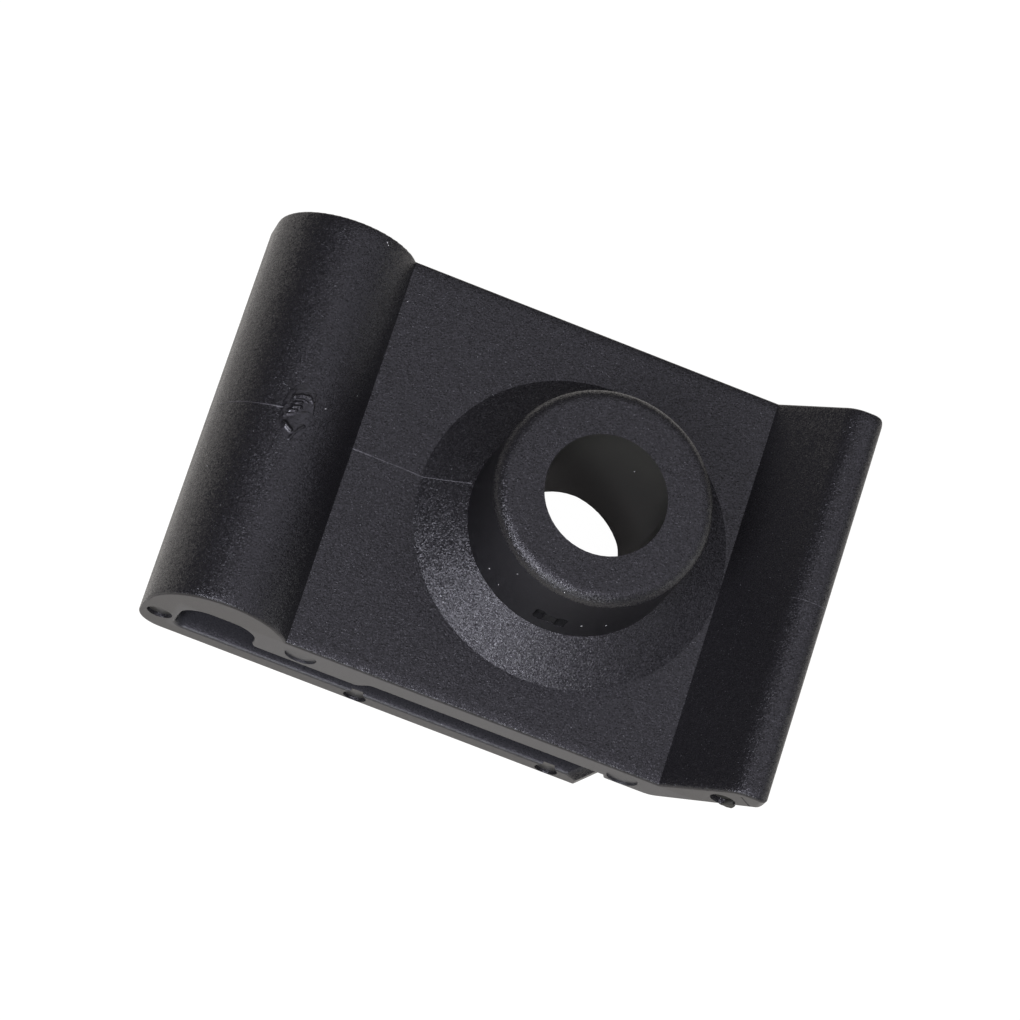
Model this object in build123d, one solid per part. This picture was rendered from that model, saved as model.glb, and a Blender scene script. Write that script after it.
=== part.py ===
from build123d import *
import math
import os

# One-piece moulded U clip nut: a strip folded back over itself, with a plain round boss on the upper leg.
# It is pushed over the edge of a panel, and a self-tapping screw comes up through the lower leg, the panel
# and the boss. Frame: Z is the screw axis, pointing up out of the boss, and Z = 0 is the underside of the
# lower leg. X runs along the clip, from the closed bend (-X) to the open lip (+X). Y = 0 is mid-width.
# All sizes are in millimetres.

# Overall
width = 18.0                 # from side face to side face
bend_reach = 15.85           # screw axis to the back of the bend

# Lower leg
leg_thickness = 1.0
leg_reach = 7.9              # screw axis to the end of the leg
leg_corner = 3.95            # each front corner is cut off at 45 degrees by this much
leg_bevel = 0.4              # lead-in along the upper edge of the cut end
leg_hole_radius = 3.2        # lets the 6.3 mm screw through

# Upper leg
panel_gap = 1.55             # free height over the lower leg where the panel sits
plate_thickness = 1.35       # over the panel pocket
rear_pad_drop = 0.6          # the pad beside the bend hangs this far below the pocket's roof
front_pad_drop = 0.35        # and the pad behind the lip this far
pocket_rear = 5.8            # screw axis to the rear end of the pocket's roof
pocket_front = 4.62          # screw axis to the step at its front end
rear_ramp = 0.5              # length of the soft ramp from the roof down to the rear pad
front_step_run = 0.12        # the front step leans by this much
ramp_radius = 0.3            # both turns of the soft ramp

# Bend
bend_radius = 3.12           # outside of the roll
bend_rise = 1.82             # top of the roll above the upper leg
bend_wall = 1.55             # wall at the back of the roll
hollow_length = 3.25
hollow_height = 2.77
hollow_radius = 1.2          # upper corners of the hollow
hollow_floor_radius = 0.45
heel_radius = 1.15           # lower outside corner of the bend
pad_edge_radius = 0.3        # where the hollow meets the rear pad

# Lip
lip_length = 4.14            # along X, from where it turns up to its end
lip_rise = 2.77              # top of the lip above the upper leg
lip_slope = 45.0             # degrees, outer face
lip_under_slope = 42.0       # degrees, inner face: the lip thickens towards its end
lip_root_run = 0.07          # the inner face turns up this far in front of the outer one
lip_crease_radius = 1.0
lip_crest_radius = 1.2
lip_edge_radius = 0.6
lip_nose_radius = 0.3
lip_corner_radius = 0.4      # both corners of its end, seen from above

# Boss, with its cone and the collar below it
bore_radius = 2.63           # a 6.3 mm self-tapping screw cuts its own thread here
boss_radius = 4.68
boss_height = 5.75           # above the upper leg
boss_edge_radius = 0.55
cone_radius = 6.78           # the lip turns up where the cone's rim ends
cone_height = 0.85
collar_radius = 3.6          # sits in the hole of the panel
collar_clearance = 0.42      # between the collar's end and the lower leg
collar_nose = 0.6            # 45 degree lead-in round the collar's end
collar_slope = 7.0           # degrees: the front half of the end rises, to let the panel edge in

# Moulding marks
side_edge_radius = 0.12      # round both side faces
leg_mark_radius = 0.5        # six ejector pins left these round marks on one side face
leg_mark_rear = 6.07         # places along the clip, from the screw axis
leg_mark_front = 2.6
leg_mark_rise = 0.07         # above the middle of the leg: the mark breaks its upper edge
plate_mark_radius = 0.69
plate_mark_rear = 9.03
plate_mark_front = 5.38
plate_mark_drop = 0.03       # below the middle of the pad
end_mark_radius = 0.55       # one mark on the bend and one on the lip
bend_mark_run = 0.79         # from the back of the bend
bend_mark_drop = 0.8         # below the middle of the roll
lip_mark_run = 2.53          # from where the lip turns up
lip_mark_drop = 0.34         # below the middle of the lip: the mark breaks its lower edge
light_mark_depth = 0.08      # on the upper leg
mark_depth = 0.17            # on the bend and the lower leg
deep_mark_depth = 0.28       # on the lip
pit_width = 0.44             # two small upright pits in the wall of the boss
pit_length = 1.1
pit_depth = 0.3
pit_height = 1.41            # their middle, above the foot of the boss wall
pit_first = -97.1            # degrees round the boss from +X
pit_second = -85.2
dent_depth = 0.05            # the shallow dent between the pits
dent_width = 0.8

touch = 0.001                # finds the edges that lie in a given plane

# Heights that follow
leg_top = leg_thickness
pocket_roof = leg_top + panel_gap
plate_top = pocket_roof + plate_thickness
rear_pad = pocket_roof - rear_pad_drop
front_pad = pocket_roof - front_pad_drop
bend_centre_z = plate_top + bend_rise - bend_radius
lip_top = plate_top + lip_rise
boss_foot = plate_top + cone_height
boss_top = plate_top + boss_height
collar_end = leg_top + collar_clearance

# Lengths that follow
half_width = width / 2
bend_centre_x = bend_radius - bend_reach
hollow_rear = bend_wall - bend_reach
hollow_front = hollow_rear + hollow_length
hollow_top = leg_top + hollow_height
lip_start = cone_radius
lip_reach = lip_start + lip_length
lip_crest = lip_start + lip_rise / math.tan(math.radians(lip_slope))
lip_under_start = lip_start + lip_root_run
lip_under_rise = (lip_reach - lip_under_start) * math.tan(math.radians(lip_under_slope))
lip_end_low = front_pad + lip_under_rise


def side_section():
    """The whole folded strip seen from the side, as one closed outline in the XZ plane."""
    shoulder = math.degrees(math.asin((plate_top - bend_centre_z) / bend_radius))
    shoulder_x = bend_centre_x + bend_radius * math.cos(math.radians(shoulder))
    corners = [
        ((shoulder_x, plate_top), None),
        ((lip_start, plate_top), 0),
        ((lip_crest, lip_top), lip_crest_radius),
        ((lip_reach, lip_top), lip_edge_radius),
        ((lip_reach, lip_end_low), lip_nose_radius),
        ((lip_under_start, front_pad), lip_crease_radius),
        ((pocket_front + front_step_run, front_pad), 0),
        ((pocket_front, pocket_roof), 0),
        ((-pocket_rear, pocket_roof), ramp_radius),
        ((-pocket_rear - rear_ramp, rear_pad), ramp_radius),
        ((hollow_front, rear_pad), pad_edge_radius),
        ((hollow_front, hollow_top), hollow_radius),
        ((hollow_rear, hollow_top), hollow_radius),
        ((hollow_rear, leg_top), hollow_floor_radius),
        ((leg_reach, leg_top), 0),
        ((leg_reach, 0), 0),
        ((-bend_reach, 0), heel_radius),
        ((-bend_reach, bend_centre_z), None),
    ]
    points = [point for point, _ in corners]
    radii = [radius for _, radius in corners[1:-1]]
    with BuildSketch(Plane.XZ) as section:
        with BuildLine():
            FilletPolyline(*points, radius=radii)
            CenterArc((bend_centre_x, bend_centre_z), bend_radius, shoulder, 180 - shoulder)
        make_face()
    return section.sketch


def lip_plan():
    """A block with the clip's outline as seen from above: both corners of the lip's end are rounded."""
    with BuildSketch() as outline:
        with Locations(((lip_reach - bend_reach) / 2, 0)):
            Rectangle(lip_reach + bend_reach, width)
        end_corners = outline.vertices().group_by(Axis.X)[-1]
        fillet(end_corners, lip_corner_radius)
    return extrude(outline.sketch, lip_top)


def folded_strip():
    """The section across the full width, with the leg's end cut to a blunt nose."""
    strip = extrude(side_section(), half_width, both=True)
    upright = strip.edges().filter_by(Axis.Z)
    end_corners = upright.filter_by_position(Axis.X, leg_reach - touch, leg_reach + touch)
    strip = chamfer(end_corners, leg_corner)
    on_leg_top = strip.edges().filter_by_position(Axis.Z, leg_top - touch, leg_top + touch)
    nose = on_leg_top.filter_by_position(Axis.X, leg_reach - leg_corner, leg_reach + touch)
    strip = chamfer(nose, leg_bevel)
    side_faces = strip.faces().filter_by(Axis.Y).sort_by(Axis.Y)
    side_edges = side_faces[0].edges() + side_faces[-1].edges()
    return fillet(side_edges, side_edge_radius) & lip_plan()


def boss_and_collar():
    """Boss, cone and collar as one turned shape round the screw axis, still without the bore."""
    corners = [
        ((0, collar_end), None),
        ((collar_radius - collar_nose, collar_end), 0),
        ((collar_radius, collar_end + collar_nose), 0),
        ((collar_radius, pocket_roof), 0),
        ((cone_radius, plate_top), 0),
        ((boss_radius, boss_foot), 0),
        ((boss_radius, boss_top), boss_edge_radius),
        ((0, boss_top), None),
    ]
    points = [point for point, _ in corners]
    radii = [radius for _, radius in corners[1:-1]]
    with BuildSketch(Plane.XZ) as half:
        with BuildLine():
            FilletPolyline(*points, radius=radii)
            Line(points[-1], points[0])
        make_face()
    return revolve(half.sketch, Axis.Z)


def panel_lead_in():
    """The wedge taken off the front half of the collar's end, so that the panel's edge slides under it."""
    reach = 2 * collar_radius
    rise = reach * math.tan(math.radians(collar_slope))
    with BuildSketch(Plane.XZ) as side:
        with BuildLine():
            Polyline((0, collar_end), (reach, collar_end), (reach, collar_end + rise), close=True)
        make_face()
    return extrude(side.sketch, reach, both=True)


def upright_cylinder(radius, low, high):
    """A cylinder on the screw axis between two heights."""
    return Pos(0, 0, low) * Cylinder(radius, high - low, align=(Align.CENTER, Align.CENTER, Align.MIN))


def screw_way():
    """The plain bore through boss and collar, and the clearance hole in the leg."""
    between = (leg_top + collar_end) / 2
    bore = upright_cylinder(bore_radius, between, boss_top)
    leg_hole = upright_cylinder(leg_hole_radius, 0, between)
    return bore + leg_hole


def pin_mark(x, z, radius, depth):
    """The round flat-bottomed mark of one ejector pin in the side face at -Y."""
    disc = Cylinder(radius, depth, rotation=(90, 0, 0))
    return Pos(x, depth / 2 - half_width, z) * disc


def pin_marks():
    """Six marks, each on the wall that its pin pushed on."""
    leg_z = leg_top / 2 + leg_mark_rise
    rear_z = (rear_pad + plate_top) / 2 - plate_mark_drop
    front_z = (front_pad + plate_top) / 2 - plate_mark_drop
    lip_rise_here = lip_mark_run * math.tan(math.radians(lip_slope + lip_under_slope) / 2)
    lip_x = lip_start + lip_mark_run
    lip_z = (front_pad + plate_top) / 2 + lip_rise_here - lip_mark_drop
    bend_x = bend_mark_run - bend_reach
    bend_z = bend_centre_z - bend_mark_drop
    return [
        pin_mark(bend_x, bend_z, end_mark_radius, mark_depth),
        pin_mark(-plate_mark_rear, rear_z, plate_mark_radius, light_mark_depth),
        pin_mark(-leg_mark_rear, leg_z, leg_mark_radius, mark_depth),
        pin_mark(leg_mark_front, leg_z, leg_mark_radius, mark_depth),
        pin_mark(plate_mark_front, front_z, plate_mark_radius, light_mark_depth),
        pin_mark(lip_x, lip_z, end_mark_radius, deep_mark_depth),
    ]


def wall_pit(angle):
    """One small upright pit with round ends, sunk square into the wall of the boss."""
    wall = Plane(origin=(boss_radius, 0, boss_foot + pit_height), x_dir=(0, 0, 1), z_dir=(1, 0, 0))
    with BuildSketch(wall) as outline:
        SlotOverall(pit_length, pit_width)
    return Rot(0, 0, angle) * extrude(outline.sketch, pit_depth, both=True)


def wall_dent():
    """The shallow dent that joins the two pits, turned round the screw axis from one to the other."""
    with BuildSketch(Plane.XZ) as cut:
        with Locations((boss_radius, boss_foot + pit_height)):
            Rectangle(2 * dent_depth, dent_width)
    return Rot(0, 0, pit_first) * revolve(cut.sketch, Axis.Z, revolution_arc=pit_second - pit_first)


def u_clip_nut():
    """The whole clip as one solid."""
    clip = folded_strip() + (boss_and_collar() - panel_lead_in())
    clip -= screw_way()
    clip -= pin_marks()
    clip -= [wall_pit(pit_first), wall_pit(pit_second), wall_dent()]
    return clip


os.makedirs("parts", exist_ok=True)
nut = u_clip_nut()
print(f"u_clip_nut: {len(nut.solids())} solid, {nut.volume:.1f} mm3, {nut.bounding_box().size}")
export_step(nut, "parts/u_clip_nut.step")
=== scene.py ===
# %% [markdown]
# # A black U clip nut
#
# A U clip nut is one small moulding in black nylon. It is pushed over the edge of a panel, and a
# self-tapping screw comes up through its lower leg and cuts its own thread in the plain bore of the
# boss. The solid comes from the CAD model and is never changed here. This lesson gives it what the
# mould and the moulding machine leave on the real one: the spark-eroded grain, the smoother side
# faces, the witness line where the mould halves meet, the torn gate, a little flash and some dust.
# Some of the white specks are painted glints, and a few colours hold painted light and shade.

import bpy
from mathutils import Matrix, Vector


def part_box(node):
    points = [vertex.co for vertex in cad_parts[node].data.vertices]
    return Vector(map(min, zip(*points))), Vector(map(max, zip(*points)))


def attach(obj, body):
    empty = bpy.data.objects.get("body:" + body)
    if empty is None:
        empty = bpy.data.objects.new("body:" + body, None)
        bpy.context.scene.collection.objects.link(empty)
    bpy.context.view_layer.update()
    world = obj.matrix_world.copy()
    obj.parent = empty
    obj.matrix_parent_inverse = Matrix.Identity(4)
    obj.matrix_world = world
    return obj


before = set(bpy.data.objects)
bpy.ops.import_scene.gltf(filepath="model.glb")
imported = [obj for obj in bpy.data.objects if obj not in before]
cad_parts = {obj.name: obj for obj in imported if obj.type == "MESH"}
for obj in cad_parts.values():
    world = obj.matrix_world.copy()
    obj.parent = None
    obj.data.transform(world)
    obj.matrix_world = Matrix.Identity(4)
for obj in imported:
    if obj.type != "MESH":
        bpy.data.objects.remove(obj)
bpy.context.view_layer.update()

# %% [markdown]
# ## Millimetres
#
# Blender works in metres and the clip is 27 mm long, so almost every size below is a few thousandths.
# One named factor keeps the sizes readable. The overall sizes are read from the model, not typed in.
#
# What lies on the clip has to follow its curved surface. A modifier could shrink each piece onto it,
# but a search tree of the clip's triangles tells more: where a line through space meets the clip,
# and which way the surface faces there.

# %% Sizes and the surface
import bpy
import bmesh
import math
from mathutils import Matrix, Vector, noise
from mathutils.bvhtree import BVHTree

MM = 0.001
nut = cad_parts["u_clip_nut"]
low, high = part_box("u_clip_nut")
print("clip, mm:", [round(side / MM, 2) for side in high - low])


def surface_of(thing):
    """A search tree of a CAD piece. Its triangles come loose, so their corners are joined first."""
    mesh = bmesh.new()
    mesh.from_mesh(thing.data)
    bmesh.ops.remove_doubles(mesh, verts=mesh.verts, dist=0.0005 * MM)
    tree = BVHTree.FromBMesh(mesh)
    mesh.free()
    return tree


clip_tree = surface_of(nut)


def drop_onto_clip(x, y):
    """The highest point of the clip at (x, y), in metres, and the direction that the surface faces."""
    above = Vector((x, y, high.z + 1 * MM))
    point, normal, _, _ = clip_tree.ray_cast(above, Vector((0, 0, -1)))
    return point, normal


print("upper leg, mm:", round(drop_onto_clip(-8 * MM, 0)[0].z / MM, 2))

# %% [markdown]
# ## The camera
#
# The clip lies on its lower leg and is seen from above its long side. A long lens from about 25 cm
# away keeps the two long sides nearly parallel. A short lens close by would show the same parts, but
# the near side would look much larger than the far one. The camera is rolled, so the clip lies
# across the frame from upper left to lower right. It is placed by two angles and a distance from
# the spot that it looks at, because these are easier to change than its own place and turn.

# %% The camera
CAMERA_AZIMUTH = math.radians(20.772)     # 0 looks along +Y
CAMERA_ELEVATION = math.radians(67.880)
CAMERA_ROLL = math.radians(40.542)
CAMERA_DISTANCE = 246.98 * MM
CAMERA_LENS = 207.94
AIM = Vector((-2.767, 0.058, 3.85)) * MM


def look_direction(azimuth, elevation):
    """The unit vector along which a camera with these angles looks."""
    flat = math.cos(elevation)
    return Vector((math.sin(azimuth) * flat, math.cos(azimuth) * flat, -math.sin(elevation)))


def make_camera():
    """The camera, on a line through the place that it looks at."""
    data = bpy.data.cameras.new("camera")
    data.lens = CAMERA_LENS
    data.clip_start = 1 * MM
    camera = bpy.data.objects.new("camera", data)
    bpy.context.scene.collection.objects.link(camera)
    forward = look_direction(CAMERA_AZIMUTH, CAMERA_ELEVATION)
    camera.location = AIM - forward * CAMERA_DISTANCE
    level = forward.to_track_quat("-Z", "Y").to_matrix()
    camera.rotation_euler = (level @ Matrix.Rotation(CAMERA_ROLL, 3, "Z")).to_euler()
    bpy.context.scene.camera = camera
    return camera


camera = make_camera()
print("camera at, mm:", [round(v / MM, 1) for v in camera.location])

# %% [markdown]
# ## Writing shader maths as Python
#
# A material is a graph of nodes, and a long formula drawn node by node is hard to read. The class
# `Wire` below holds one output of one node. Adding, multiplying or comparing wires adds the Math
# node that does it, so a mask reads like the formula that it is. `Finish.node` adds any other node:
# its settings first, then the values or wires of its sockets.

# %% Wires and finishes
class Wire:
    """One value that travels through a shader. Arithmetic on it adds Math nodes."""

    def __init__(self, finish, socket):
        self.finish = finish
        self.socket = socket

    def math(self, operation, *others):
        inputs = dict(enumerate((self, *others)))
        return self.finish.node("ShaderNodeMath", {"operation": operation}, inputs)

    def __add__(self, other):
        return self.math("ADD", other)

    def __sub__(self, other):
        return self.math("SUBTRACT", other)

    def __mul__(self, other):
        return self.math("MULTIPLY", other)

    def __truediv__(self, other):
        return self.math("DIVIDE", other)

    def __pow__(self, other):
        return self.math("POWER", other)

    def __abs__(self):
        return self.math("ABSOLUTE")

    def __rsub__(self, other):
        return self * -1.0 + other

    __radd__ = __add__
    __rmul__ = __mul__

    def least(self, other):
        return self.math("MINIMUM", other)

    def most(self, other):
        return self.math("MAXIMUM", other)

    def ease(self, start, end):
        """0 at start, 1 at end, and a smooth step between them, whichever of the two is larger."""
        if start > end:
            return 1 - self.ease(end, start)
        settings = {"interpolation_type": "SMOOTHSTEP"}
        inputs = {"Value": self, "From Min": start, "From Max": end}
        return self.finish.node("ShaderNodeMapRange", settings, inputs, "Result")


class Finish:
    """A material under construction."""

    def __init__(self, name):
        self.material = bpy.data.materials.new(name)
        self.material.use_nodes = True
        self.tree = self.material.node_tree
        self.tree.nodes.clear()

    def node(self, kind, settings=None, inputs=None, output=0):
        """Adds a node, sets it up, feeds its sockets and hands back one of its outputs as a wire."""
        made = self.tree.nodes.new(kind)
        for name, value in (settings or {}).items():
            setattr(made, name, value)
        for key, value in (inputs or {}).items():
            if isinstance(value, Wire):
                self.tree.links.new(value.socket, made.inputs[key])
            else:
                made.inputs[key].default_value = value
        return Wire(self, made.outputs[output]) if len(made.outputs) else made

    def place(self):
        """Object coordinates in millimetres, so that a pattern's size is its real size."""
        return self.vector("SCALE", self.node("ShaderNodeTexCoord", output="Object"), 1 / MM)

    def facing(self):
        """The direction that the surface faces, in the clip's own frame."""
        return self.node("ShaderNodeTexCoord", output="Normal")

    def split(self, vector):
        """The three parts of a vector as three wires."""
        made = self.tree.nodes.new("ShaderNodeSeparateXYZ")
        self.tree.links.new(vector.socket, made.inputs[0])
        return [Wire(self, out) for out in made.outputs]

    def mix(self, factor, first, second):
        """A colour between two colours."""
        settings = {"data_type": "RGBA"}
        inputs = {0: factor, 6: first, 7: second}
        return self.node("ShaderNodeMix", settings, inputs, 2)

    def vector(self, operation, first, second):
        """Vector maths on two vectors, or on a vector and a number."""
        inputs = {0: first, "Scale" if operation == "SCALE" else 1: second}
        return self.node("ShaderNodeVectorMath", {"operation": operation}, inputs, "Vector")

    def lumps(self, place, scale):
        """Soft noise: so many lumps per millimetre."""
        inputs = {"Vector": place, "Scale": scale, "Detail": 2.0, "Roughness": 0.6}
        return self.node("ShaderNodeTexNoise", None, inputs, "Fac")

    def cells(self, place, scale):
        """Voronoi cells, each with three random values as its colour: so many per millimetre."""
        return self.node("ShaderNodeTexVoronoi", None, {"Vector": place, "Scale": scale}, "Color")

    def bump(self, height, depth):
        """Relief of that depth in metres."""
        inputs = {"Height": height, "Distance": depth, "Strength": 1.0}
        return self.node("ShaderNodeBump", None, inputs, "Normal")

    def plastic(self, colour, rough, normal):
        """Bare nylon of that colour: it reflects as a clear plastic does."""
        inputs = {"Base Color": colour, "Roughness": rough, "Normal": normal, "IOR": 1.5}
        return self.node("ShaderNodeBsdfPrincipled", None, inputs)

    def near_line(self, x, z, first, last):
        """The distance from (x, z) to a straight line between two places."""
        run, rise = last[0] - first[0], last[1] - first[1]
        along = ((x - first[0]) * run + (z - first[1]) * rise) / (run ** 2 + rise ** 2)
        along = along.most(0.0).least(1.0)
        off_x = x - first[0] - along * run
        off_z = z - first[1] - along * rise
        return (off_x * off_x + off_z * off_z) ** 0.5

    def out(self, shader):
        self.node("ShaderNodeOutputMaterial", None, {"Surface": shader})
        return self.material


print("shader helpers ready")

# %% [markdown]
# ## The floor
#
# The floor is a sheet of slightly warm white card, which lights the side faces from below. More
# light could turn the card plain white, but the black clip would turn grey with it. A Light Path
# node parts the two jobs: the camera sees a white glow with a faint shadow in it, reflections see
# the card with a small share of that glow, and all other light comes off the card alone.

# %% Floor
FLOOR_HALF = 600 * MM
FLOOR_CARD = (0.77, 0.745, 0.63, 1.0)
FLOOR_SEEN = 0.90          # share of the plain white that the camera sees in place of the card
FLOOR_GLINT = 0.020        # and the share that reflections see
FLOOR_WHITE = 1.10         # how brightly that white glows


def make_floor():
    """A sheet of card under the clip, which takes its shadow."""
    corners = [(-FLOOR_HALF, -FLOOR_HALF, low.z), (FLOOR_HALF, -FLOOR_HALF, low.z),
               (FLOOR_HALF, FLOOR_HALF, low.z), (-FLOOR_HALF, FLOOR_HALF, low.z)]
    mesh = bpy.data.meshes.new("floor")
    mesh.from_pydata(corners, [], [(0, 1, 2, 3)])
    card = Finish("white card")
    seen = card.node("ShaderNodeLightPath", output="Is Camera Ray")
    mirrored = card.node("ShaderNodeLightPath", output="Is Glossy Ray")
    white = seen * FLOOR_SEEN + mirrored * FLOOR_GLINT
    matt = card.node("ShaderNodeBsdfDiffuse", None, {"Color": FLOOR_CARD})
    glow = card.node("ShaderNodeEmission", None, {"Color": (1, 1, 1, 1), "Strength": FLOOR_WHITE})
    both = card.node("ShaderNodeMixShader", None, {0: white, 1: matt, 2: glow})
    mesh.materials.append(card.out(both))
    floor = bpy.data.objects.new("floor", mesh)
    bpy.context.scene.collection.objects.link(floor)


make_floor()
print("floor at, mm:", round(low.z / MM, 3))

# %% [markdown]
# ## Lamps and world
#
# Black plastic shows almost nothing of its own colour: it is drawn by what it reflects. A bright
# world all round would make it an even grey, and separate lamps let every face have its own tone.
#
# Seven round soft lamps stand 45 cm from the clip. The key lamp, above the near left, is the
# smallest and the strongest, and it gives the bright patch on the cone. A very large lamp straight
# above keeps the flat faces dark grey instead of black. Two fills on the near side light the long
# side faces and the sheen on the bend. The three weak ones at the right and behind draw the lip and
# the far rim of the boss. The world is nearly dark, so the slope of the lip stays black, but the
# camera sees it as white.

# %% Lamps and world
LAMPS = {
    # name: (degrees round from +X, degrees up, disc across, power in watts, colour)
    "overhead": (0, 88, 520 * MM, 0.385, (1.02, 0.99, 1.18)),
    "key": (232, 50, 140 * MM, 1.18, (0.99, 0.99, 1.14)),
    "high fill": (270, 70, 300 * MM, 0.35, (1.03, 0.98, 1.20)),
    "near fill": (270, 32, 300 * MM, 0.80, (0.98, 1.0, 1.06)),
    "right fill": (30, 52, 300 * MM, 0.17, (1.0, 0.99, 1.15)),
    "low right fill": (0, 12, 300 * MM, 0.32, (0.99, 1.0, 1.02)),
    "far fill": (90, 52, 300 * MM, 0.08, (1.0, 1.0, 1.0)),
}
LAMP_DISTANCE = 450 * MM
WORLD_LEVEL = 0.015


def make_lamp(name, around, up, across, power, colour):
    """A round lamp that looks at the clip. The camera doesn't see it."""
    data = bpy.data.lights.new(name, "AREA")
    data.shape = "DISK"
    data.size = across
    data.energy = power
    data.color = colour
    lamp = bpy.data.objects.new(name, data)
    bpy.context.scene.collection.objects.link(lamp)
    around, up = math.radians(around), math.radians(up)
    away = Vector((math.cos(around) * math.cos(up), math.sin(around) * math.cos(up), math.sin(up)))
    lamp.location = AIM + away * LAMP_DISTANCE
    lamp.rotation_euler = (-away).to_track_quat("-Z", "Y").to_euler()
    lamp.visible_camera = False


def make_world():
    """Nearly dark, but plain white to the camera."""
    world = bpy.data.worlds.new("world")
    world.use_nodes = True
    tree = world.node_tree
    room = tree.nodes["Background"]
    room.inputs["Color"].default_value = (1, 1, 1, 1)
    path = tree.nodes.new("ShaderNodeLightPath")
    level = tree.nodes.new("ShaderNodeMix")
    level.inputs[2].default_value = WORLD_LEVEL
    level.inputs[3].default_value = 1.0
    tree.links.new(path.outputs["Is Camera Ray"], level.inputs[0])
    tree.links.new(level.outputs[0], room.inputs["Strength"])
    bpy.context.scene.world = world


bpy.context.scene.view_settings.view_transform = "Standard"
for name, row in LAMPS.items():
    make_lamp(name, *row)
make_world()
print("lamps:", ", ".join(LAMPS))

# %% [markdown]
# ## Where each finish lies
#
# Spark erosion gives the mould's cavity a fine grain. The two side faces, the wall of the boss and
# the bore are shaped by ground steel, so the grain stops there, and the inside of the fold is half
# smooth. The inside of the fold and the floors of the pin marks in the bend and the lower leg are
# painted paler, as painted light in these hollows, and the bore is painted a paler olive, as painted
# light from the warm floor. The two pits in the wall of the boss are deep, and they are painted black,
# as painted shade. The skin bows down a little before it meets the long sides, and a short fold mark
# crosses the near side of the lip.
#
# Faces could be picked by hand for each finish, but the clip's mesh stays as it came. Here every
# finish has a mask instead, worked out from where a place lies and which way it faces.

# %% Where each finish lies
# in millimetres: from where a finish starts to where it is full
# facings are parts of the surface's direction, from 0 to 1
SIDE_BAND = (8.5, 8.6)             # distance from mid-width
SIDE_FACING = (0.60, 0.90)
WALL_BAND = (4.9, 4.8)             # distance from the screw axis
WALL_FACING = (0.14, 0.02)
BORE_BAND = (2.80, 2.72)
BORE_FACING = (0.5, 0.3)
FOLD_FLOOR, FOLD_ROOF = (0.80, 0.95), (3.84, 3.80)
FOLD_REAR, FOLD_FRONT = (-14.7, -14.5), (8.4, 8.2)
MARK_FRONT, MARK_BACK = (8.90, 8.88), (8.78, 8.80)     # floors of the middle pin marks, from mid-width
PIT_FRONT, PIT_BACK = (4.665, 4.645), (4.0, 4.1)       # pits in the boss wall, from the screw axis
PIT_LOWEST, PIT_HIGHEST = (5.40, 5.45), (6.90, 6.85)
EDGE_BAND = (8.45, 8.95)           # where the skin bows down, from mid-width
CRACK_PLACES = ((9.82, 6.25), (10.20, 5.79), (10.50, 5.43))     # along the clip and up
CRACK_WIDTH = (0.045, 0.015)
CRACK_BAND = (-8.8, -8.9)


def nylon_regions(skin, place):
    """Masks from 0 to 1 for the parts of the clip that are finished in their own way."""
    x, y, z = skin.split(place)
    _, face_y, face_z = skin.split(skin.facing())
    across = (x * x + y * y) ** 0.5
    side = abs(face_y).ease(*SIDE_FACING) * abs(y).ease(*SIDE_BAND)
    crack = skin.near_line(x, z, *CRACK_PLACES[:2]).least(skin.near_line(x, z, *CRACK_PLACES[1:]))
    return {
        "side": side,
        "wall": across.ease(*WALL_BAND) * abs(face_z).ease(*WALL_FACING),
        "bore": across.ease(*BORE_BAND) * abs(face_z).ease(*BORE_FACING),
        "fold": z.ease(*FOLD_FLOOR) * z.ease(*FOLD_ROOF) * x.ease(*FOLD_REAR) * x.ease(*FOLD_FRONT),
        "mark": side * abs(y).ease(*MARK_FRONT) * abs(y).ease(*MARK_BACK),
        "pit": (across.ease(*PIT_FRONT) * across.ease(*PIT_BACK)
                * z.ease(*PIT_LOWEST) * z.ease(*PIT_HIGHEST)),
        "edge": y.math("SIGN") * abs(y).ease(*EDGE_BAND) * (1 - side),
        "crack": crack.ease(*CRACK_WIDTH) * y.ease(*CRACK_BAND),
    }


print("side faces start, mm from mid-width:", SIDE_BAND[0], "and the clip ends at", round(high.y / MM, 2))

# %% [markdown]
# ## Black nylon
#
# The nylon copies the mould's grain, thousands of tiny overlapping craters that sparkle. Real craters
# would take millions of triangles, so the grain only leans the normal. Noise gives the soft lumps.
# Voronoi cells stand for the crater walls: each one leans its own way, so here and there one of
# them catches a lamp. A bump made from the cells would show at their borders alone, so the lean is
# added to the normal itself. The bowed edges and the fold mark are too shallow to be modelled as
# solid, and they lean it in the same way.

# %% Black nylon
NYLON = (0.0125, 0.0120, 0.0130, 1.0)
# painted light: the inside of the fold is paler to stand in for light that scatters into the hollow
FOLD_PAINTED_LIGHT = (0.028, 0.028, 0.030, 1.0)
# painted light: the floors of the pin marks are paler to lift the shade in these recesses
MARK_PAINTED_LIGHT = (0.045, 0.044, 0.040, 1.0)
# painted light: the bore's paler olive stands in for the warm floor's light in it
BORE_PAINTED_LIGHT = (0.034, 0.034, 0.029, 1.0)
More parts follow.
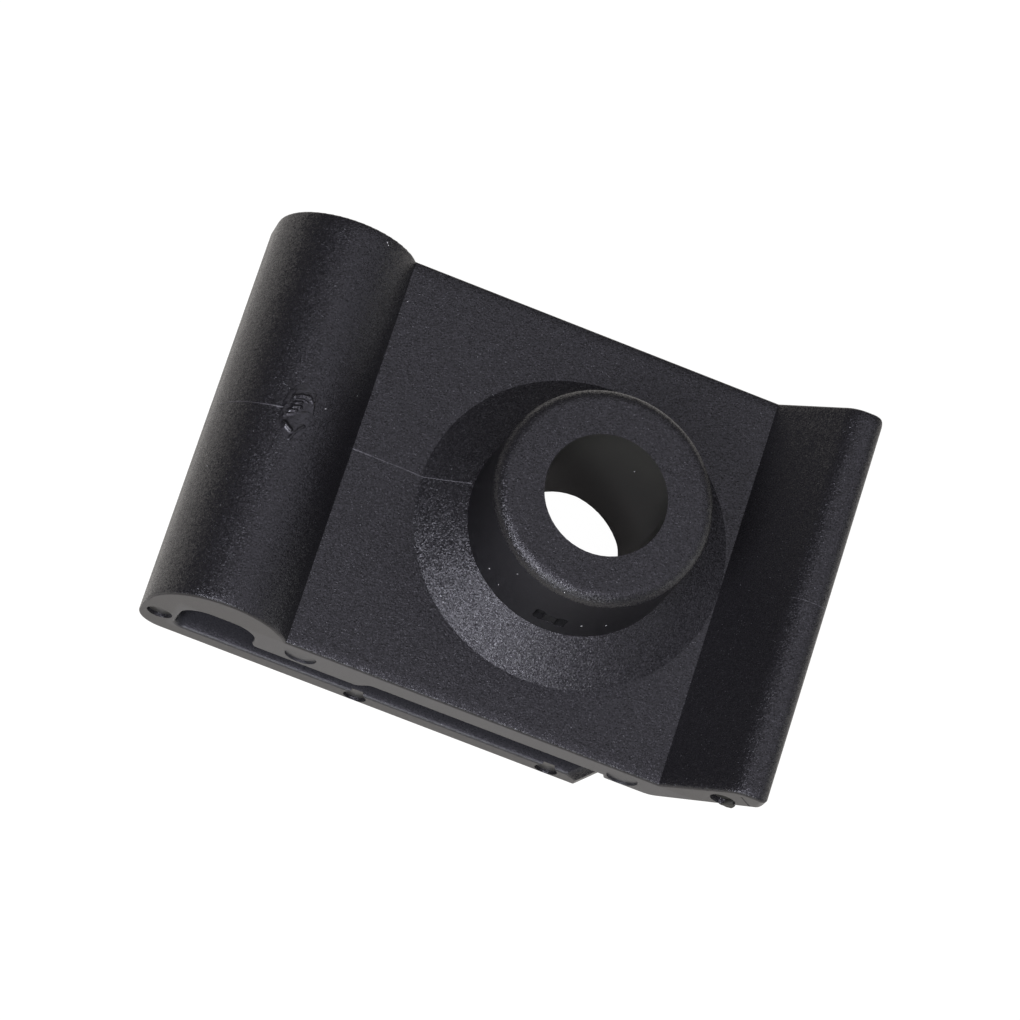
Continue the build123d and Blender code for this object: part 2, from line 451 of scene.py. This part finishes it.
# painted shade: the pits in the boss wall are black
PIT_PAINTED_SHADE = (0.001, 0.001, 0.001, 1.0)
GRAIN_SIZE = 13.0                  # soft lumps per millimetre
GRAIN_DEPTH = 0.026 * MM
FACET_SIZE = 20.0                  # crater walls per millimetre
FACET_UPRIGHT = (0.5, 0.5, 0.5)    # the middle of their random values, at which a wall does not lean
FACET_TILT = 0.35                  # how far each one leans, as a share of upright
EDGE_LEAN = 0.16
CRACK_LEAN = 0.55
GROUND_SHARE = 0.94                # how much of the grain ground steel takes away
FOLD_SHARE = 0.6                   # and how smooth the fold is beside that
NYLON_ROUGH = 0.31
FLECK_SIZE = 18.0                  # spots per millimetre, some of which are shinier
FLECK_BAND = (0.5, 1.0)            # random value of a spot: from where it shines to where it is full
FLECK_SHINE = 0.12
BORE_DULL = 0.14
PIT_ROUGH = 0.9


def nylon_colour(skin, region):
    """The nylon's black, with painted light in the fold, the pin marks and the bore, and painted shade in
    the pits.
    """
    colour = NYLON
    paints = {"fold": FOLD_PAINTED_LIGHT, "mark": MARK_PAINTED_LIGHT, "bore": BORE_PAINTED_LIGHT, "pit": PIT_PAINTED_SHADE}
    for name, paint in paints.items():
        colour = skin.mix(region[name], colour, paint)
    return colour


def nylon_relief(skin, place, region, grained):
    """The surface's direction, with lumps, crater walls, bowed edges and the fold mark in the lip."""
    lumpy = skin.bump(skin.lumps(place, GRAIN_SIZE) * grained, GRAIN_DEPTH)
    wall = skin.vector("SUBTRACT", skin.cells(place, FACET_SIZE), FACET_UPRIGHT)
    wall = skin.vector("SCALE", wall, grained * FACET_TILT)
    bowed = skin.node("ShaderNodeCombineXYZ", None, {
        0: 0.0, 1: region["edge"] * EDGE_LEAN, 2: region["crack"] * CRACK_LEAN})
    leant = skin.vector("ADD", lumpy, skin.vector("ADD", wall, bowed))
    return skin.node("ShaderNodeVectorMath", {"operation": "NORMALIZE"}, {0: leant}, "Vector")


def black_nylon():
    """The finish of the whole clip."""
    skin = Finish("black nylon")
    place = skin.place()
    region = nylon_regions(skin, place)
    ground = region["side"].most(region["wall"]).most(region["fold"] * FOLD_SHARE)
    grained = 1 - GROUND_SHARE * ground
    fleck = skin.split(skin.cells(place, FLECK_SIZE))[0].ease(*FLECK_BAND)
    rough = NYLON_ROUGH - FLECK_SHINE * fleck * grained + BORE_DULL * region["bore"]
    rough = rough * (1 - region["pit"]) + PIT_ROUGH * region["pit"]
    normal = nylon_relief(skin, place, region, grained)
    return skin.out(skin.plastic(nylon_colour(skin, region), rough, normal))


nylon = black_nylon()
nut.data.materials.clear()
nut.data.materials.append(nylon)
print(nylon.name, "has", len(nylon.node_tree.nodes), "nodes")

# %% [markdown]
# ## The finishes of the small pieces
#
# Each small piece has one finish all over. Torn nylon is as black as the clip and a little glossier.
# Flash is nylon that only just filled its gap, and it is dull. The witness line is paler, partly as
# worn nylon and partly as a painted highlight along the bead, and the specks are nearly white, as
# dust and as painted glints. All four could share the clip's material, but its masks go by places on
# the clip and would cut through them. One short function makes them, with shallow soft lumps.

# %% Finishes of the small pieces
PLAIN_DEPTH = 0.004 * MM


def plain_finish(name, colour, rough, lumps_per_mm):
    """A material of one colour with shallow soft lumps."""
    skin = Finish(name)
    normal = skin.bump(skin.lumps(skin.place(), lumps_per_mm), PLAIN_DEPTH)
    return skin.out(skin.plastic(colour, rough, normal))


torn = plain_finish("torn nylon", (0.012, 0.0115, 0.0125, 1.0), 0.27, 9.0)
starved = plain_finish("starved nylon", (0.022, 0.022, 0.017, 1.0), 0.70, 9.0)
# paler partly as worn nylon and partly as a painted highlight along the bead
witness = plain_finish("witness line", (0.058, 0.056, 0.060, 1.0), 0.34, 14.0)
# nearly white: real dust, and painted glints of tiny nicks
dust_and_glints = plain_finish("dust_and_glints", (0.55, 0.55, 0.53, 1.0), 0.6, 20.0)
print("finishes:", ", ".join(made.name for made in (torn, starved, witness, dust_and_glints)))

# %% [markdown]
# ## Pieces that the mould leaves
#
# Every piece below is a thin skin, a bead or a few grains on the clip. They could be joined to the
# clip, but as pieces of their own they leave its mesh alone. Each one is kept inside the clip's own
# box, its faces are turned outwards, and it rides on the clip's body.

# %% Tools for the pieces
def piece_from(name, points, faces=(), edges=()):
    """A new object at the origin, with its sizes in place in the mesh."""
    mesh = bpy.data.meshes.new(name)
    mesh.from_pydata(points, edges, faces)
    made = bpy.data.objects.new(name, mesh)
    bpy.context.scene.collection.objects.link(made)
    return made


def finish_piece(made, material):
    """Keeps a piece in the clip's box, turns its faces outwards, smooths it and lets it ride."""
    for vertex in made.data.vertices:
        for axis in range(3):
            vertex.co[axis] = min(max(vertex.co[axis], low[axis]), high[axis])
    skin = bmesh.new()
    skin.from_mesh(made.data)
    bmesh.ops.recalc_face_normals(skin, faces=skin.faces)
    skin.to_mesh(made.data)
    skin.free()
    made.data.shade_smooth()
    made.data.materials.clear()
    made.data.materials.append(material)
    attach(made, "root")
    print(made.name, "has", len(made.data.polygons), "faces")


print("piece tools ready")

# %% [markdown]
# ## Writing Geometry Nodes as Python
#
# What follows a path or repeats is made by a Geometry Nodes tree, because its sizes can be changed
# without laying every face by hand. The class `Growth` below builds such a tree: it names the
# inputs, adds nodes in the same way as `Finish` does, and ends with real faces that have a material.
# `grow` runs the tree on a piece and keeps the result as a plain mesh.

# %% Geometry Nodes helpers
class Growth:
    """A Geometry Nodes tree under construction."""

    def __init__(self, name, inputs):
        self.tree = bpy.data.node_groups.new(name, "GeometryNodeTree")
        sockets = self.tree.interface
        sockets.new_socket("Geometry", in_out="INPUT", socket_type="NodeSocketGeometry")
        for title, kind in inputs.items():
            sockets.new_socket(title, in_out="INPUT", socket_type=kind)
        sockets.new_socket("Geometry", in_out="OUTPUT", socket_type="NodeSocketGeometry")
        self.given = self.tree.nodes.new("NodeGroupInput").outputs

    def node(self, kind, settings=None, inputs=None, output=0):
        """Adds a node, sets it up, feeds its sockets and hands back one of its outputs."""
        made = self.tree.nodes.new(kind)
        for name, value in (settings or {}).items():
            setattr(made, name, value)
        for key, value in (inputs or {}).items():
            if isinstance(value, bpy.types.NodeSocket):
                self.tree.links.new(value, made.inputs[key])
            else:
                made.inputs[key].default_value = value
        return made.outputs[output]

    def math(self, operation, first, second):
        return self.node("ShaderNodeMath", {"operation": operation}, {0: first, 1: second})

    def stored(self, name, kind="FLOAT"):
        """A value that the piece's own points carry."""
        return self.node("GeometryNodeInputNamedAttribute", {"data_type": kind}, {"Name": name})

    def end(self, geometry, material):
        real = self.node("GeometryNodeRealizeInstances", None, {0: geometry})
        dressed = self.node("GeometryNodeSetMaterial", None, {"Geometry": real, "Material": material})
        self.tree.links.new(dressed, self.tree.nodes.new("NodeGroupOutput").inputs[0])
        return self.tree


def grow(made, tree, values):
    """Runs a Geometry Nodes tree on a piece with the named inputs, and keeps what it makes as a mesh."""
    live = made.modifiers.new("grow", "NODES")
    live.node_group = tree
    for socket in tree.interface.items_tree:
        if socket.in_out == "INPUT" and socket.name in values:
            live[socket.identifier] = values[socket.name]
    graph = bpy.context.evaluated_depsgraph_get()
    settled = bpy.data.meshes.new_from_object(made.evaluated_get(graph))
    made.modifiers.clear()
    made.data = settled


print("Geometry Nodes helpers ready")

# %% [markdown]
# ## The witness line of the mould
#
# The two halves of the mould's cavity meet at mid-width. Where they do not close perfectly the
# nylon creeps between them and leaves a hair-fine uneven bead, a few hundredths of a millimetre
# high. It shows best where it turns from the bend to the flat leg. A bump in the material could
# draw it, but a real bead catches the lamps on its flanks from every side. A Geometry Nodes tree
# sweeps a small ring along the path and lets noise swell and starve it, as a worn mould does.

# %% Witness line
# millimetres from the screw axis along the clip, and how far the line wanders from mid-width
WITNESS_WANDER = [(-16, -0.10), (-14.2, -0.07), (-13.3, 0.0), (-9.8, 0.06), (-7.2, 0.03),
                  (-6.7, 0.0), (-6.0, 0.07), (-4.7, 0.23), (9.0, 0.0)]
# and the height of the bead
WITNESS_BEAD = [(-16, 0.016), (-14.6, 0.017), (-14.2, 0.020), (-13.75, 0.042), (-13.35, 0.030),
                (-13.2, 0.002), (-9.95, 0.002), (-9.75, 0.040), (-9.2, 0.042), (-8.9, 0.022),
                (-7.6, 0.021), (-7.2, 0.030), (-6.7, 0.018), (-5.0, 0.022), (-4.85, 0.040)]
LIP_BEAD = [(9, 0.008), (10.5, 0.02), (10.85, 0.05)]
WITNESS_STEP = 0.05
WITNESS_GROWTH = {"Unevenness": 2.4, "Lumps per metre": 6000.0, "Seed": 4.0}


def between(table, x):
    """Reads a table of (x, value) rows at x, with straight lines between the rows."""
    for (x0, v0), (x1, v1) in zip(table, table[1:]):
        if x <= x1:
            return v0 + (v1 - v0) * max(x - x0, 0) / (x1 - x0)
    return table[-1][1]


def path_over_clip(first, last):
    """Points on the clip, at even steps along it, that follow the witness line."""
    places = [first + number * WITNESS_STEP for number in range(int((last - first) / WITNESS_STEP) + 1)]
    return [drop_onto_clip(x * MM, between(WITNESS_WANDER, x) * MM)[0] for x in places]


def swept_bead(material):
    """A tree that sweeps a ring of the stored size along a line and makes it uneven."""
    growth = Growth("uneven bead", {
        "Unevenness": "NodeSocketFloat", "Lumps per metre": "NodeSocketFloat", "Seed": "NodeSocketFloat"})
    line = growth.node("GeometryNodeMeshToCurve", None, {"Mesh": growth.given["Geometry"]})
    lumps = growth.node("ShaderNodeTexNoise", {"noise_dimensions": "4D"}, {
        "Scale": growth.given["Lumps per metre"], "W": growth.given["Seed"], "Detail": 3.0})
    swell = growth.math("MULTIPLY", growth.math("SUBTRACT", lumps, 0.5), growth.given["Unevenness"])
    size = growth.math("MULTIPLY", growth.stored("bead"), growth.math("ADD", swell, 1.0))
    ring = growth.node("GeometryNodeCurvePrimitiveCircle", None, {"Resolution": 8, "Radius": 1.0})
    bead = growth.node("GeometryNodeCurveToMesh", None, {
        "Curve": line, "Profile Curve": ring, "Scale": size, "Fill Caps": True})
    return growth.end(bead, material)


def witness_line(name, first, last, heights):
    """One stretch of the line, between two places along the clip, with its table of heights."""
    points = path_over_clip(first, last)
    line = piece_from(name, points, edges=[(i, i + 1) for i in range(len(points) - 1)])
    beads = line.data.attributes.new("bead", "FLOAT", "POINT")
    for value, point in zip(beads.data, points):
        value.value = between(heights, point.x / MM) * MM
    grow(line, swept_bead(witness), WITNESS_GROWTH)
    finish_piece(line, witness)


witness_line("witness_line_bend", -15.7, -13.2, WITNESS_BEAD)
witness_line("witness_line_leg", -9.95, -4.72, WITNESS_BEAD)
witness_line("witness_line_lip", 9.3, 10.85, LIP_BEAD)

# %% [markdown]
# ## The torn gate
#
# The nylon enters the mould through one small gate on top of the bend. When the mould opens, the
# runner is torn off and leaves an oval scar with a raised rim, torn facets and a smooth drag mark.
# It could be sculpted, but strokes of a brush cannot be read or changed in a script. Here each ridge
# is a short line with a height and a width, and noise gives the torn lumps between the ridges. The
# first cell answers how far the torn skin stands off the bend at a place.

# %% Ridges and lumps of the scar
SCAR_MIDDLE = (-12.78, 0.05)          # millimetres along and across the clip
SCAR_HALF = (0.78, 1.42)
SCAR_WORN = 0.72                      # share of each ridge's height that handling has left
SCAR_SKIN = 0.004                     # the net lies this far off the bend
SCAR_SWELL = 0.022                    # and stands this much higher in the middle
SCAR_TORN = 0.018                     # height of the coarse torn lumps
SCAR_COARSE = (6, 3.7)                # lumps per millimetre, and the slice of the noise
SCAR_FINE = (16, 1.2)
SCAR_FINE_SHARE = 0.5                 # height of the fine lumps beside the coarse ones
SCAR_FADE = 0.35                      # share of the scar, at its edge, in which the lumps fade
SCAR_BORDER, SCAR_DIP = 0.86, 0.03    # beyond this share of the scar the net dips by this much
SCAR_RIDGE_END = 4                    # a ridge has run out at this many half widths
SCAR_RIDGES = [
    # (places in millimetres, height, half width)
    ([(-13.06, 0.60), (-12.80, 0.76), (-12.45, 0.80), (-12.25, 0.60), (-12.20, 0.48)], 0.070, 0.042),
    ([(-12.25, 0.64), (-12.26, 1.12)], 0.045, 0.036),
    ([(-12.96, 0.50), (-12.70, 0.58), (-12.48, 0.54)], 0.045, 0.026),
    ([(-12.20, 0.48), (-12.16, 0.20), (-12.30, -0.20)], 0.022, 0.045),
    ([(-13.34, 0.10), (-13.36, -0.14), (-13.24, -0.34)], 0.030, 0.030),
    ([(-12.94, 0.36), (-12.74, 0.44)], 0.080, 0.055),
    ([(-12.96, 0.16), (-12.74, 0.24)], 0.090, 0.060),
    ([(-13.06, -0.04), (-12.84, 0.04)], 0.080, 0.060),
    ([(-13.10, -0.22), (-12.92, -0.14)], 0.050, 0.050),
    ([(-13.12, -0.64), (-12.96, -0.76), (-12.80, -0.86)], 0.110, 0.060),
    ([(-12.72, -1.24), (-12.62, -0.95), (-12.33, -0.50)], 0.045, 0.045),
]


def distance_to_line(x, y, places):
    """The shortest distance from (x, y) to a line with corners."""
    best = math.inf
    for (ax, ay), (bx, by) in zip(places, places[1:]):
        run, rise = bx - ax, by - ay
        along = ((x - ax) * run + (y - ay) * rise) / (run ** 2 + rise ** 2)
        along = min(max(along, 0), 1)
        best = min(best, math.hypot(x - ax - along * run, y - ay - along * rise))
    return best


def scar_reach(x, y):
    """0 in the middle of the scar and 1 on its border."""
    return math.hypot((x - SCAR_MIDDLE[0]) / SCAR_HALF[0], (y - SCAR_MIDDLE[1]) / SCAR_HALF[1])


def torn_lumps(x, y, lumps_per_mm, slice_of_noise):
    """Noise from about -1 to 1."""
    return noise.noise(Vector((x * lumps_per_mm, y * lumps_per_mm, slice_of_noise)))


def scar_lift(x, y):
    """How far the torn skin stands off the bend at a place, in millimetres."""
    ridge = 0.0
    for places, height, half_width in SCAR_RIDGES:
        gap = distance_to_line(x, y, places) / half_width
        if gap < SCAR_RIDGE_END:
            ridge = max(ridge, height * math.exp(-0.5 * gap * gap))
    reach = scar_reach(x, y)
    lumps = torn_lumps(x, y, *SCAR_COARSE) + SCAR_FINE_SHARE * torn_lumps(x, y, *SCAR_FINE)
    swell = SCAR_SWELL * max(1 - reach * reach, 0) + SCAR_TORN * lumps
    inside = min(max((1 - reach) / SCAR_FADE, 0), 1)
    dip = SCAR_DIP * max(reach - SCAR_BORDER, 0) / (1 - SCAR_BORDER)
    return SCAR_WORN * ridge + swell * inside + SCAR_SKIN - dip


print("scar stands off the bend in its middle, mm:", round(scar_lift(*SCAR_MIDDLE), 3))

# %% [markdown]
# ## A net over the bend
#
# A flat sheet could be wrapped round the bend with a modifier. A fine net of points is simpler: each
# point is dropped onto the bend and lifted along the direction that the bend faces there. The net's
# border dips under the surface, so no edge shows.

# %% Gate scar
SCAR_PITCH = 0.022                    # millimetres between the net's points
SCAR_CUT = 1.02                       # the net ends at this share of the scar


def gate_scar():
    """The net of points over the scar, with its corners left out."""
    columns = round(2 * SCAR_HALF[0] / SCAR_PITCH)
    rows = round(2 * SCAR_HALF[1] / SCAR_PITCH)
    points, faces, numbers = [], [], {}
    for i in range(columns + 1):
        for j in range(rows + 1):
            x = SCAR_MIDDLE[0] - SCAR_HALF[0] + i * SCAR_PITCH
            y = SCAR_MIDDLE[1] - SCAR_HALF[1] + j * SCAR_PITCH
            if scar_reach(x, y) > SCAR_CUT:
                continue
            point, normal = drop_onto_clip(x * MM, y * MM)
            numbers[i, j] = len(points)
            points.append(point + normal * scar_lift(x, y) * MM)
    for i, j in numbers:
        ring = [(i, j), (i + 1, j), (i + 1, j + 1), (i, j + 1)]
        if all(corner in numbers for corner in ring):
            faces.append([numbers[corner] for corner in ring])
    return piece_from("gate_scar", points, faces)


finish_piece(gate_scar(), torn)

# %% [markdown]
# ## Flash at the lip
#
# One ejector pin stands so close to the lower edge of the lip that its round mark breaks through
# it. The nylon has closed the gap with a thin web and left a small ragged tab of flash that hangs
# from the edge. They are too thin and too ragged for the solid. Both are thin plates across the
# clip, whose outlines a circle and noise give, and most of each one is buried in the lip.

# %% Lip flash
# millimetres along the clip and up, or in from the near side face
PIN_MARK = (9.31, 5.11)               # the middle of the pin mark in the lip
WEB_RADIUS = 0.65
WEB_SIDES = 40
WEB_DEPTHS = (0.25, 0.42)             # its front and back
FLASH_TURN = math.radians(56)         # how steeply the tab's root runs along the lip's lower edge
FLASH_ROOT = (9.55, 4.64)             # the middle of that root
FLASH_HALF = (0.36, 0.47)             # half its length, and how far the tab hangs out
FLASH_STEPS = 24
FLASH_RAGGED = 0.20                   # share by which noise swells and starves the outline
FLASH_WAVES, FLASH_SLICE = 2, 0.4     # how fast that noise changes round the tab, and its slice
FLASH_DEPTHS = (0.04, 0.27)
PLATE_ROUNDING = [(0.86, 0.0), (0.97, 0.02), (1.0, 0.06)]     # share of the outline, and depth


def thin_plate(outline, front, back):
    """A flat piece across the clip with that outline of (x, z), its front edge rounded."""
    middle_x, middle_z = (sum(place[axis] for place in outline) / len(outline) for axis in (0, 1))
    rings = [(share, front + depth) for share, depth in PLATE_ROUNDING] + [(1.0, back)]
    points = [Vector(((middle_x + share * (x - middle_x)) * MM, low.y + depth * MM,
                      (middle_z + share * (z - middle_z)) * MM))
              for share, depth in rings for x, z in outline]
    count = len(outline)
    last = (len(rings) - 1) * count
    faces = [list(range(count)), list(range(last, last + count))[::-1]]
    for here in range(0, last, count):
        for number in range(count):
            after = (number + 1) % count
            faces.append([here + number, here + count + number, here + count + after, here + after])
    return points, faces


def pin_mark_web():
    """A round skin of nylon over the end of the pin."""
    turns = [2 * math.pi * number / WEB_SIDES for number in range(WEB_SIDES)]
    outline = [(PIN_MARK[0] + WEB_RADIUS * math.cos(turn), PIN_MARK[1] + WEB_RADIUS * math.sin(turn))
               for turn in turns]
    return piece_from("pin_mark_web", *thin_plate(outline, *WEB_DEPTHS))


def lip_flash():
    """The ragged tab that hangs from the edge of the lip."""
    outline = []
    for number in range(FLASH_STEPS + 1):
        turn = math.pi * number / FLASH_STEPS
        around = Vector((FLASH_WAVES * math.cos(turn), FLASH_WAVES * math.sin(turn), FLASH_SLICE))
        wave = noise.noise(around)
        along = FLASH_HALF[0] * (1 + FLASH_RAGGED * wave) * math.cos(turn)
        out = FLASH_HALF[1] * (1 + FLASH_RAGGED * wave) * math.sin(turn)
        outline.append((FLASH_ROOT[0] + along * math.cos(FLASH_TURN) + out * math.sin(FLASH_TURN),
                        FLASH_ROOT[1] + along * math.sin(FLASH_TURN) - out * math.cos(FLASH_TURN)))
    return piece_from("lip_flash", *thin_plate(outline, *FLASH_DEPTHS))


finish_piece(pin_mark_web(), starved)
finish_piece(lip_flash(), starved)

# %% [markdown]
# ## Specks
#
# A few grains of dust, and the glints of tiny nicks, show as white points, most of them on the bend
# and round the boss. Both are made as small white grains, so the glints are painted glints. They
# could be white dots in the material, but dots would lie flat. A Geometry Nodes tree sets a small
# flattened grain on every place, turned to lie on the surface, each with its own size, and a random
# value spins it.

# %% Specks
SPECKS = [
    # (x, y, z, size) in millimetres
    (-11.49, 8.66, 5.46, 0.040), (-11.41, 8.57, 5.42, 0.030), (-9.71, 7.14, 3.90, 0.025),
    (-11.68, 0.64, 5.54, 0.035), (-10.51, 1.99, 4.79, 0.022), (-15.42, -3.09, 4.17, 0.028),
    (-3.12, -3.49, 5.96, 0.035), (-2.53, -3.94, 5.79, 0.030), (-2.27, -4.09, 8.19, 0.028),
    (1.20, 2.34, 7.31, 0.025), (3.15, 1.11, 9.65, 0.030), (0.29, 3.25, 9.65, 0.026),
    (1.24, -4.51, 6.28, 0.045), (2.20, -4.12, 6.35, 0.045), (0.29, -3.82, 9.65, 0.028),
    (-1.77, -4.03, 9.58, 0.030), (-0.37, -4.56, 9.42, 0.028),
]
SPECK_GROWTH = {"Width": 0.6, "Flatness": 0.45, "Seed": 7}     # shares of a grain's length


def scattered_grains(material):
    """A tree that lays a flattened grain of the stored size on every point, turned to the surface."""
    growth = Growth("grains", {
        "Width": "NodeSocketFloat", "Flatness": "NodeSocketFloat", "Seed": "NodeSocketInt"})
    grain = growth.node("GeometryNodeMeshIcoSphere", None, {"Radius": 1.0, "Subdivisions": 2})
    turned = growth.node("FunctionNodeAlignRotationToVector", {"axis": "Z"}, {
        "Vector": growth.stored("facing", "FLOAT_VECTOR")})
    spin = growth.node("FunctionNodeRandomValue", None, {
        2: 0.0, 3: math.tau, "Seed": growth.given["Seed"]}, 1)
    spun = growth.node("FunctionNodeRotateRotation", {"rotation_space": "LOCAL"}, {
        0: turned, 1: growth.node("FunctionNodeAxisAngleToRotation", None, {0: (0, 0, 1), 1: spin})})
    flat = growth.node("ShaderNodeCombineXYZ", None, {
        0: 1.0, 1: growth.given["Width"], 2: growth.given["Flatness"]})
    size = growth.node("ShaderNodeVectorMath", {"operation": "SCALE"}, {
        0: flat, "Scale": growth.stored("grain")})
    laid = growth.node("GeometryNodeInstanceOnPoints", None, {
        "Points": growth.given["Geometry"], "Instance": grain, "Rotation": spun, "Scale": size})
    return growth.end(laid, material)


def specks():
    """Every speck, laid on the nearest place of the clip's surface."""
    points = [Vector(row[:3]) * MM for row in SPECKS]
    made = piece_from("specks", points)
    made.data.attributes.new("facing", "FLOAT_VECTOR", "POINT")
    made.data.attributes.new("grain", "FLOAT", "POINT")
    facing, grains = (made.data.attributes[title].data for title in ("facing", "grain"))
    for number, point in enumerate(points):
        facing[number].vector = clip_tree.find_nearest(point)[1]
        grains[number].value = SPECKS[number][3] * MM
    grow(made, scattered_grains(dust_and_glints), SPECK_GROWTH)
    return made


finish_piece(specks(), dust_and_glints)
